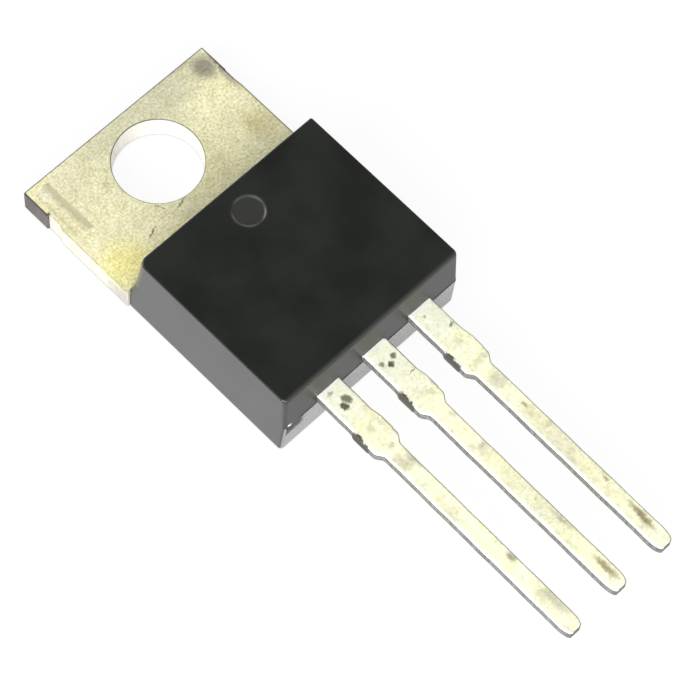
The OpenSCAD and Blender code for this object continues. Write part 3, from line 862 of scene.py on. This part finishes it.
def plate_rows():
    """The closed section, row by row: up the hole's wall, over its rim, across the face to the edge,
    down the side with its lip, and back under. A row is its points, its height and its marks cut,
    painted sheen and line. t is an angle over an eased edge, or a share of the way from rim to outline."""
    bearing = np.arctan2(lower_outline[:, 1], lower_outline[:, 0])
    rim = np.stack([np.cos(bearing), np.sin(bearing)], axis=1)
    inner = rim * (HOLE_R + RIM_R)
    a = np.linspace(0, np.pi / 2, EASE_STEPS)
    rows = [(rim * (HOLE_R + RIM_R * (1 - np.cos(t))), RIM_R * (1 - np.sin(t)), 0, 1, 0)
            for t in a[::-1]]
    rows += [(rim * HOLE_R, z, 0, 1, 0) for z in np.linspace(RIM_R, TAB_T - RIM_R, WALL_RINGS)[1:-1]]
    rows += [(rim * (HOLE_R + RIM_R * (1 - np.cos(t))), TAB_T - RIM_R * (1 - np.sin(t)),
              0, np.cos(t) > RIM_STEEP, RIM_LINE * smooth_step(0, 0.5, np.sin(2 * t))) for t in a]
    rows += [(inner + (upper_inset - inner) * t, TAB_T, 0, 0, 0)
             for t in np.linspace(0, 1, FACE_RINGS)[1:-1]]
    rows += [(upper_outline + (upper_inset - upper_outline) * (1 - np.cos(t)),
              TAB_T - EDGE_R * (1 - np.sin(t)), np.cos(t) > EDGE_STEEP, 0,
              smooth_step(*EDGE_RISE, np.cos(t)) * (t > EDGE_RISE_FROM)) for t in a[::-1]]
    rows += [(upper_outline, z, 1, 0, 0) for z in SIDE_HEIGHTS + (LIP_Z,)]
    rows += [(lower_outline, z, 1, 0, 0) for z in (LIP_Z,) + LIP_HEIGHTS]
    rows += [(lower_outline + (lower_inset - lower_outline) * (1 - np.cos(t)),
              EDGE_R * (1 - np.sin(t)), 1 - UNDER_EASE * np.sin(t), 0, BURR_TONE * np.cos(t)) for t in a]
    rows += [(inner + (lower_inset - inner) * t, 0.0, 0, 0, 0)
             for t in np.linspace(1, 0, BACK_RINGS)[1:-1]]
    return rows


# %% Plate
BAND_SLOPE = 0.14
RELIEF_X = -4.8
RELIEF_GAP = 0.02
FOOT_FROM = 1.6
FOOT_TO = 3.1
RELIEF_CUT, FOOT_CUT = 0.45, 0.4
RELIEF_SHEEN, FOOT_SHEEN = 0.46, -0.12
LOW_LINE, FOOT_LINE = 0.45, 0.5
HIGH_LINE = 0.5


def band_depth(xy):
    """Depth of the coined band at each point: the product of four smooth steps, one in from each of
    its borders, times its full depth."""
    left, right, low, high = BAND
    borders = (xy[..., 0] - left, right - xy[..., 0], xy[..., 1] - low, high - xy[..., 1])
    return BAND_DEPTH * np.prod([smooth_step(0, BAND_SLOPE, inside) for inside in borders], axis=0)


def calm_relief(xy, z, cut, painted_sheen, line):
    """Marks with the gate side's relief made smoother and lighter by a painted sheen, the white
    ground's reflection, and greyer again towards its foot, next to the moulding."""
    relief = (xy[..., 0] < RELIEF_X) & (xy[..., 1] < TIE_STOP - RELIEF_GAP)
    foot = smooth_step(FOOT_FROM, FOOT_TO, -xy[..., 1])
    calm = np.where(z < EDGE_R, LOW_LINE + FOOT_LINE * foot, HIGH_LINE)
    return {"cut": np.where(relief, (RELIEF_CUT + FOOT_CUT * foot) * cut, cut),
            "painted_sheen": np.where(relief, (RELIEF_SHEEN + FOOT_SHEEN * foot) * cut, painted_sheen),
            "line": np.where(relief, calm * line, line)}


def plate_part():
    """The rows as one closed grid, with the coined band pressed into its face."""
    rings, heights, *marks = zip(*plate_rows())
    xy = np.stack(rings)
    z, cut, painted_sheen, line = (np.broadcast_to(np.array(values, float)[:, None], xy.shape[:2])
                          for values in (heights, *marks))
    z = z - band_depth(xy) * (z == TAB_T)
    points = np.concatenate([xy, z[..., None]], axis=-1).reshape(-1, 3)
    quads = grid_faces(*xy.shape[:2], join_rows=True, join_columns=True)
    return {"points": points, "quads": quads, "marks": calm_relief(xy, z, cut, painted_sheen, line)}


# %% Tab with the middle lead
STRIP_START = -10.1
RISE_START = -10.5
RISE_LEN = 1.2
RISE_STOP = RISE_START - RISE_LEN


def drain_strip():
    """The thin strip: level on the pad, then up a smooth rise to the other leads, then straight out."""
    inside = np.concatenate([np.linspace(STRIP_START, RISE_START, 4),
                             np.linspace(RISE_START, RISE_STOP, 14)[1:],
                             np.linspace(RISE_STOP - 0.1, BODY_END + 0.05, 5)])
    outside = lead_stations()
    left, right = lead_edges(outside, 0.0, 17)
    y = np.concatenate([inside, outside])
    left = np.concatenate([np.full_like(inside, -WIDE_HALF), left])
    right = np.concatenate([np.full_like(inside, WIDE_HALF), right])
    under = TAB_T - LEAD_T + (LEAD_Z - TAB_T + LEAD_T) * smooth_step(0, RISE_LEN, RISE_START - y)
    return strip_part(y, left, right, under, finish=1)


make_piece("tab_with_drain_lead", [plate_part(), drain_strip()], [tab_tin.material, lead_tin.material])

# %% [markdown]
# ## The moulding
# A transfer mould gives every wall a draft, so that the part can leave it. The outline at each
# height is a rectangle with rounded corners, and a stack of them makes the walls. The front face is
# a sheet stretched between the sides of the uppermost outline, which keeps the grid regular and
# lets the ejector pin's round mark sink into it. The back has two smaller pin marks at the leads' end.

# %% Sizes of the moulding
BACK_Z = 0.03
PART_Z = 2.08
FRONT_Z = 4.37
BODY_HALF = 4.9
SIDE_DRAFT = np.tan(np.radians(1.7))
UPPER_DRAFT = np.tan(np.radians(3.0))
LOWER_DRAFT = np.tan(np.radians(3.0))
TAB_DRAFT = np.tan(np.radians(7.7))
LEDGE = 0.02
LEDGE_R = 0.015
FRONT_R = 0.07
SOFT_R = 0.16
BACK_R = 0.05
CORNER_R = 0.18
FAR_CORNER_R = 0.09
BIG_CORNER_R = 0.4
FOOT_R = 0.05
PIN_R = 0.74
PIN_DEPTH = 0.04
PIN_SLOPE = 0.14
PIN_Y = -5.28
BACK_PIN_R = 0.55
BACK_PIN_X = 2.71
BACK_PIN_Y = -11.27
SCAR_LOW = 1.42
SCAR_CORNER_RISE = 0.25


def half_width(z):
    """Half width of the moulding at height z."""
    return BODY_HALF - (z - BACK_Z) * SIDE_DRAFT


def tab_end(z):
    """The end that faces the tab: upright beside the tab, then leaning back."""
    return SHOULDER - np.maximum(0, z - TAB_T) * TAB_DRAFT


def soft_inset(z):
    """How far the rounded upper edge at the leads' end is set in: R - sqrt(R^2 - h^2) at a height h
    above the start of the rounding."""
    h = np.clip(z - (FRONT_Z - SOFT_R), 0, SOFT_R)
    return SOFT_R - np.sqrt(SOFT_R ** 2 - h ** 2)


def lead_end(z, upper):
    """The end at the leads: it leans in above the parting line, and out down to it from the back."""
    lower_wall = BODY_END - LEDGE + (PART_Z - z) * LOWER_DRAFT
    upper_wall = BODY_END + (z - PART_Z) * UPPER_DRAFT
    return lower_wall + (upper_wall - lower_wall) * upper


# %% Levels of the moulding
def moulding_levels():
    """Columns of height, inset, share of the way over the parting ledge, and the two corner radii at
    the tab, which spread as the wall rises from the metal to the parting line. The heights come in
    runs: the eased back, the tab's side, the scar, the ledge, and the wall up to the eased front."""
    a = np.linspace(0, np.pi / 2, 5)
    b = np.linspace(0, np.pi / 2, 7)
    edge = np.linspace(0, LEDGE, 4)
    z = np.concatenate([
        BACK_Z + BACK_R * (1 - np.sin(a[::-1])),
        np.linspace(0.2, TAB_T, 6),
        np.linspace(TAB_T, SCAR_LOW, 4)[1:],
        np.linspace(SCAR_LOW, PART_Z - LEDGE_R, 26)[1:],
        0 * edge + PART_Z,
        np.linspace(PART_Z, PART_Z + 0.9, 30)[1:],
        np.linspace(PART_Z + 1.0, FRONT_Z - SOFT_R, 8),
        np.linspace(FRONT_Z - SOFT_R, FRONT_Z - FRONT_R, 5)[1:],
        FRONT_Z - FRONT_R * (1 - np.sin(b[1:])),
    ])
    inset = np.zeros_like(z)
    inset[:len(a)] = BACK_R * (1 - np.cos(a[::-1]))
    inset[-len(b) + 1:] = FRONT_R * (1 - np.cos(b[1:]))
    upper = (z > PART_Z).astype(float)
    upper[z == PART_Z] = edge / LEDGE
    rise = np.clip((z - TAB_T) / (PART_Z - TAB_T), 0, 1)
    return z, inset, upper, *(FOOT_R + rise * (r - FOOT_R) for r in (FAR_CORNER_R, BIG_CORNER_R))


print("levels of the moulding:", len(moulding_levels()[0]))

# %% [markdown]
# ### Lines of the grid
# The lines are close together where something small happens: at the corners, at the ejector pin's
# mark and at the scar where the runner was broken off. A square's border, walked in order and bent
# round the corners, gives the outline at every level at once.

# %% Outline of the moulding at every level
def border_lines():
    """Shares, from -1 to 1, of the half width and of the half length at which grid lines lie."""
    x = np.unique(np.round(np.concatenate([
        np.linspace(-1, -0.8, 36), np.linspace(-0.8, -0.16, 28), np.linspace(-0.16, 0.16, 41),
        np.linspace(0.16, 0.95, 30), np.linspace(0.95, 1, 7)]), 5))
    pin = (PIN_Y - (SHOULDER + BODY_END) / 2) / ((SHOULDER - BODY_END) / 2)
    y = np.unique(np.round(np.concatenate([
        np.linspace(-1, -0.95, 7), np.linspace(-0.95, pin - 0.2, 40), np.linspace(pin - 0.2, pin + 0.2, 41),
        np.linspace(pin + 0.2, 0.9, 12), np.linspace(0.9, 1, 13)]), 5))
    return x, y


def walk_border(x, y):
    """The square's border as two arrays, anticlockwise from its lower left corner."""
    bx = np.concatenate([x[:-1], np.ones(len(y) - 1), x[:0:-1], -np.ones(len(y) - 1)])
    by = np.concatenate([-np.ones(len(x) - 1), y[:-1], np.ones(len(x) - 1), y[:0:-1]])
    return bx, by


def bend_corners(bx, by, half_x, low, high, radius):
    """Border points in millimetres, with corners rounded. Within radius of a corner, the share t of
    the way to it turns into an angle of 45 t degrees on the arc, from either side."""
    half_y = (high - low) / 2
    x = bx * half_x
    y = (high + low) / 2 + by * half_y
    to_x = np.clip((np.abs(x) - (half_x - radius)) / radius, 0, 1)
    to_y = np.clip((np.abs(y - (high + low) / 2) - (half_y - radius)) / radius, 0, 1)
    on_level = np.abs(by) == 1
    turn = np.where(on_level, to_x * np.pi / 4, np.pi / 2 - to_y * np.pi / 4)
    arc_x = np.sign(bx) * (half_x - radius + radius * np.sin(turn))
    arc_y = (high + low) / 2 + np.sign(by) * (half_y - radius + radius * np.cos(turn))
    near = (to_x > 0) & (to_y > 0)
    return np.where(near, arc_x, x), np.where(near, arc_y, y)


# %% [markdown]
# ### The runner's scar and the front sheet
# Resin entered at one corner of the leads' end, just below the parting line, and the runner was
# broken off there: a wedge is missing, deepest next to the corner, with a rough dull floor. The front
# sheet fills its border by a Coons patch: the two straight blends between opposite sides, less the
# blend of the four corners.

# %% Scar and sheets
SCAR_LEFT = -4.7
SCAR_RIGHT = -3.82
SCAR_DEPTH = 0.12
SCAR_END_DEPTH = 0.06
SCAR_EDGE = 0.02
SCAR_UNEVEN = 0.3


def scar_depth(x, z):
    """How deep the scar is: a wedge from its deep end to its shallow end, inside a rectangle below
    the parting line, with the unevenness of broken resin on its floor."""
    share = np.clip((x - SCAR_LEFT) / (SCAR_RIGHT - SCAR_LEFT), 0, 1)
    across = smooth_step(SCAR_LEFT - SCAR_EDGE, SCAR_LEFT, x) * smooth_step(0, SCAR_EDGE, SCAR_RIGHT - x)
    high = PART_Z + SCAR_CORNER_RISE * (1 - share) ** 2
    upright = smooth_step(SCAR_LOW - SCAR_EDGE, SCAR_LOW, z) * smooth_step(0, SCAR_EDGE, high - z)
    rough = 1 + SCAR_UNEVEN * np.sin(31 * x) * np.sin(17 * z + 13 * x)
    return (SCAR_DEPTH + share * (SCAR_END_DEPTH - SCAR_DEPTH)) * across * upright * rough


def coons(bottom, right, top, left):
    """A sheet from four sides, each an array of points: the blend between left and right, plus that
    between bottom and top, less the blend of the corners, by share of the way across and up."""
    u = np.linspace(0, 1, len(bottom))[:, None, None]
    v = np.linspace(0, 1, len(left))[None, :, None]
    across = (1 - u) * left[None] + u * right[None]
    upward = (1 - v) * bottom[:, None] + v * top[:, None]
    low = (1 - u) * bottom[0] + u * bottom[-1]
    high = (1 - u) * top[0] + u * top[-1]
    return across + upward - ((1 - v) * low + v * high)


def sheet(ring, nx, ny):
    """Splits a ring into its four sides and fills it."""
    bottom = ring[:nx]
    right = ring[nx - 1:nx + ny - 1]
    top = ring[nx + ny - 2:2 * nx + ny - 2][::-1]
    left = np.concatenate([ring[2 * nx + ny - 3:], ring[:1]])[::-1]
    return coons(bottom, right, top, left)


# %% [markdown]
# ### Walls, sheets and their marks
# The finish reads five marks from the mesh: broken resin in the scar, a small painted glint on the
# scar's floor, the end wall's lower part, which gets a painted reflection of the ground, its upper
# part, which is made rougher, and the grey ring of the ejector pin.

# %% Marks on the moulding
GLINT_X, GLINT_Z = -4.48, 1.86
GLINT_WIDTH, GLINT_HEIGHT = 0.09, 0.07
BROKEN_FROM, BROKEN_TO = 0.01, 0.05
PIN_RING_WIDTH = 0.05
PIN_FLOOR_TONE = 0.16


def wall_rings():
    """Points of the walls, one ring at each level, and their marks."""
    z, inset, upper, r_tab, r_big = (column[:, None] for column in moulding_levels())
    bx, by = walk_border(*border_lines())
    radius = np.where(by > 0, np.where(bx < 0, r_big, r_tab), CORNER_R) - inset
    low = lead_end(z, upper) + np.maximum(inset, soft_inset(z))
    high = tab_end(z) - inset
    x, y = bend_corners(bx, by, half_width(z) - inset, low, high, radius)
    z = np.broadcast_to(z, x.shape)
    at_leads = by == -1
    depth = np.where(at_leads, scar_depth(x, z), 0.0)
    # painted glint: a soft bright spot on the scar's floor
    glint = np.exp(-((x - GLINT_X) / GLINT_WIDTH) ** 2 - ((z - GLINT_Z) / GLINT_HEIGHT) ** 2)
    marks = {"broken": smooth_step(BROKEN_FROM, BROKEN_TO, depth), "glint": glint * at_leads,
             "lower": (1 - upper) * at_leads, "shaded": upper * at_leads, "pin": 0 * x}
    return np.stack([x, y + depth, z], axis=-1), marks


def pin_mark(away, radius):
    """Depth of an ejector pin's round mark, with a sloped border, at a distance from its middle."""
    return PIN_DEPTH * (1 - smooth_step(radius - PIN_SLOPE, radius, away))


def pin_tone(away, bearing):
    """Greyness of the front's pin mark: a ring that is uneven round the circle, and a faint floor."""
    ring = np.exp(-((away - PIN_R + PIN_SLOPE / 2) / PIN_RING_WIDTH) ** 2)
    ring *= 0.55 + 0.25 * np.sin(2 * bearing + 0.6) + 0.2 * np.sin(5 * bearing)
    return np.maximum(ring, PIN_FLOOR_TONE * (away < PIN_R - PIN_SLOPE / 2))


# %% Moulding
def moulding_parts():
    """Walls, front sheet and back sheet, joined later where their borders meet."""
    rings, marks = wall_rings()
    sides = [len(lines) for lines in border_lines()]
    front = sheet(rings[-1], *sides)
    away = np.hypot(front[..., 0], front[..., 1] - PIN_Y)
    tone = pin_tone(away, np.arctan2(front[..., 1] - PIN_Y, front[..., 0]))
    front[..., 2] -= pin_mark(away, PIN_R)
    back = sheet(rings[0], *sides)
    away = np.hypot(np.abs(back[..., 0]) - BACK_PIN_X, back[..., 1] - BACK_PIN_Y)
    back[..., 2] += pin_mark(away, BACK_PIN_R)
    parts = [{"points": rings.reshape(-1, 3), "marks": marks,
              "quads": grid_faces(*rings.shape[:2], join_columns=True)}]
    for grid, pin in ((front, tone), (back, 0 * away)):
        plain = {key: 0 * pin for key in marks}
        parts.append({"points": grid.reshape(-1, 3), "marks": {**plain, "pin": pin},
                      "quads": grid_faces(*grid.shape[:2])})
    return parts


def join_parts(parts):
    """One closed grid from several: points that coincide become one point. The last part, the back
    sheet, is turned over, so that it faces down."""
    points = np.concatenate([part["points"] for part in parts])
    starts = np.cumsum([0] + [len(part["points"]) for part in parts[:-1]])
    quads = [part["quads"] + start for part, start in zip(parts, starts)]
    quads[-1] = quads[-1][:, ::-1]
    _, first, same = np.unique(np.round(points, 6), axis=0, return_index=True, return_inverse=True)
    marks = {key: np.concatenate([np.ravel(part["marks"][key]) for part in parts])[first]
             for key in parts[0]["marks"]}
    return {"points": points[first], "quads": same.reshape(-1)[np.concatenate(quads)], "marks": marks}


make_piece("moulding", [join_parts(moulding_parts())], [resin.material])

# %% [markdown]
# ## The pieces inside
# The chip, its solder and the bond wires are sealed in the resin and no view shows them. Their CAD
# solids have the right shapes, so they stay and only get a finish: silicon with its metal face,
# solder, and drawn aluminium wire.

# %% Finishes of the inner pieces
INNER_CLOUD = (0.35, 0.65)
INNER_SPREAD = 0.15
INNER_GRAIN = 0.01


def inner_finish(name, tone, other, size, roughness):
    """Bare metal of two tones in fine clouds, with a matching roughness and a slight bump."""
    f = Finish(name)
    cloud = f.noise(size, 3.0)
    f.join(f.blend(f.ramp(cloud, *INNER_CLOUD), tone, other), f.shader.inputs["Base Color"])
    rough = f.ramp(cloud, 0.3, 0.7, roughness, roughness + INNER_SPREAD)
    f.join(rough, f.shader.inputs["Roughness"])
    f.shader.inputs["Metallic"].default_value = 1.0
    f.join(f.bump(cloud, INNER_GRAIN), f.shader.inputs["Normal"])
    return f.material


chip_face = inner_finish("chip metal", (0.55, 0.56, 0.58, 1), (0.66, 0.67, 0.69, 1), 0.05, 0.25)
solder_grey = inner_finish("solder", (0.4, 0.4, 0.39, 1), (0.52, 0.52, 0.5, 1), 0.2, 0.4)
drawn_wire = inner_finish("aluminium wire", (0.78, 0.79, 0.8, 1), (0.68, 0.69, 0.7, 1), 0.1, 0.3)
INNER = {"chip": chip_face, "chip_solder": solder_grey, "gate_wire": drawn_wire,
         "source_wire_inner": drawn_wire, "source_wire_outer": drawn_wire}
for name, finish in INNER.items():
    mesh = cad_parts[name].data
    mesh.materials.clear()
    mesh.materials.append(finish)
print("inner finishes:", len(INNER))

# %% [markdown]
# ## The studio
# The part lies on its metal back on a white ground. The ground shows as plain white to the camera
# and in reflections, with a trace of the real shading left in it, which keeps the shadow, and a
# painted contact shadow where ambient occlusion dims its glow close to the part. Above, the room is
# darker, which is why the front face stays black. Of three soft lamps, the strongest stands at the
# gate's side, a weaker one in front of the leads and the weakest behind the tab.

# %% Ground
GROUND_HALF = 3.0
GROUND_LINES = 9
GROUND_DROP = 0.02


def white_ground():
    """A large square with a little grid, just under the part."""
    line = np.linspace(-GROUND_HALF, GROUND_HALF, GROUND_LINES)
    x, y = np.meshgrid(line, line, indexing="ij")
    points = np.stack([x, y, np.full_like(x, -GROUND_DROP * MM)], axis=-1).reshape(-1, 3)
    mesh = bpy.data.meshes.new("ground")
    quads = grid_faces(GROUND_LINES, GROUND_LINES)[:, ::-1]
    mesh.from_pydata(points.tolist(), [], quads.tolist())
    ground = bpy.data.objects.new("ground", mesh)
    bpy.context.scene.collection.objects.link(ground)
    return ground


ground = white_ground()
print("ground normal up:", ground.data.polygons[0].normal.z > 0)

# %% Ground finish
PAPER = (0.9, 0.9, 0.9, 1.0)
PAPER_PALE = (0.94, 0.94, 0.94, 1.0)
PAPER_ROUGHNESS = 0.9
PAPER_CLOUD = 400.0
GROUND_GLOW = 0.93
CONTACT_REACH = 0.08
CONTACT_SHADE = 0.4

paper = Finish("white ground")
paper.shader.inputs["Roughness"].default_value = PAPER_ROUGHNESS
paper_tone = paper.blend(paper.noise(PAPER_CLOUD, 2.0), PAPER, PAPER_PALE)
paper.join(paper_tone, paper.shader.inputs["Base Color"])
rays = paper.add("ShaderNodeLightPath").outputs
mirrored = paper.math("MAXIMUM", rays["Is Glossy Ray"], rays["Is Transmission Ray"])
seen = paper.math("MAXIMUM", rays["Is Camera Ray"], mirrored)
# painted contact shadow: the white glow is dimmed by ambient occlusion close to the part
crevice = paper.add("ShaderNodeAmbientOcclusion", {"samples": 16}, Distance=CONTACT_REACH * MM)
open_share = paper.math("MULTIPLY", crevice.outputs["AO"], CONTACT_SHADE)
strength = paper.math("ADD", open_share, 1.0 - CONTACT_SHADE)
glow = paper.add("ShaderNodeEmission", Color=(1, 1, 1, 1), Strength=strength)
lit = paper.add("ShaderNodeMixShader", Fac=paper.math("MULTIPLY", seen, GROUND_GLOW),
                i1=paper.shader.outputs[0], i2=glow.outputs[0])
clear = paper.add("ShaderNodeBsdfTransparent")
under = paper.add("ShaderNodeNewGeometry").outputs["Backfacing"]
whole = paper.add("ShaderNodeMixShader", Fac=under, i1=lit.outputs[0], i2=clear.outputs[0])
paper.join(whole.outputs[0], paper.tree.nodes["Material Output"].inputs["Surface"])
ground.data.materials.append(paper.material)
print("nodes in the ground's finish:", len(paper.tree.nodes))

# %% [markdown]
# ### The room
# The room is a gradient: white at the level of the ground, and darker overhead.

# %% Room
ROOM_HIGH = (0.105, 0.105, 0.105, 1.0)
ROOM_LOW = (1.0, 1.0, 1.0, 1.0)
FADE_LOW = 0.25
FADE_HIGH = 0.65

world = bpy.data.worlds.new("room")
bpy.context.scene.world = world
world.use_nodes = True
room = world.node_tree
sky = room.nodes["Background"]
coords = room.nodes.new("ShaderNodeTexCoord")
split = room.nodes.new("ShaderNodeSeparateXYZ")
room.links.new(coords.outputs["Generated"], split.inputs[0])
fade = room.nodes.new("ShaderNodeMapRange")
fade.interpolation_type = "SMOOTHSTEP"
fade.inputs["From Min"].default_value = FADE_LOW
fade.inputs["From Max"].default_value = FADE_HIGH
room.links.new(split.outputs["Z"], fade.inputs["Value"])
shade = room.nodes.new("ShaderNodeMix")
shade.data_type = "RGBA"
shade.inputs[6].default_value = ROOM_LOW
shade.inputs[7].default_value = ROOM_HIGH
room.links.new(fade.outputs["Result"], shade.inputs["Factor"])
room.links.new(shade.outputs[2], sky.inputs["Color"])
sky.inputs["Strength"].default_value = 1.0
print("room:", ROOM_LOW[0], "below", FADE_LOW, "and", ROOM_HIGH[0], "above", FADE_HIGH)

# %% Lamps
LAMP_DISTANCE = 0.5
LAMP_SIZE = 0.35
LAMPS = {
    "side lamp": ((-0.8, -0.25, 0.7), 2.85),
    "front lamp": ((-0.4, -0.9, 0.6), 2.05),
    "back lamp": ((-0.2, 0.9, 0.6), 1.0),
}


def soft_lamp(name, direction, power):
    """A square soft lamp that looks at the middle of the part from a direction."""
    light = bpy.data.lights.new(name, "AREA")
    light.shape = "SQUARE"
    light.size = LAMP_SIZE
    light.energy = power
    lamp = bpy.data.objects.new(name, light)
    away = Vector(direction).normalized()
    lamp.location = Vector(CAMERA_TARGET.tolist()) * MM + away * LAMP_DISTANCE
    lamp.rotation_mode = "QUATERNION"
    lamp.rotation_quaternion = away.to_track_quat("Z", "Y")
    bpy.context.scene.collection.objects.link(lamp)


for name, (direction, power) in LAMPS.items():
    soft_lamp(name, direction, power)
print("lamps:", list(LAMPS))

# %% [markdown]
# The picture is shown as plain sRGB, so that a colour comes out about as it is written.

# %% Finish
bpy.context.scene.view_settings.view_transform = "Standard"
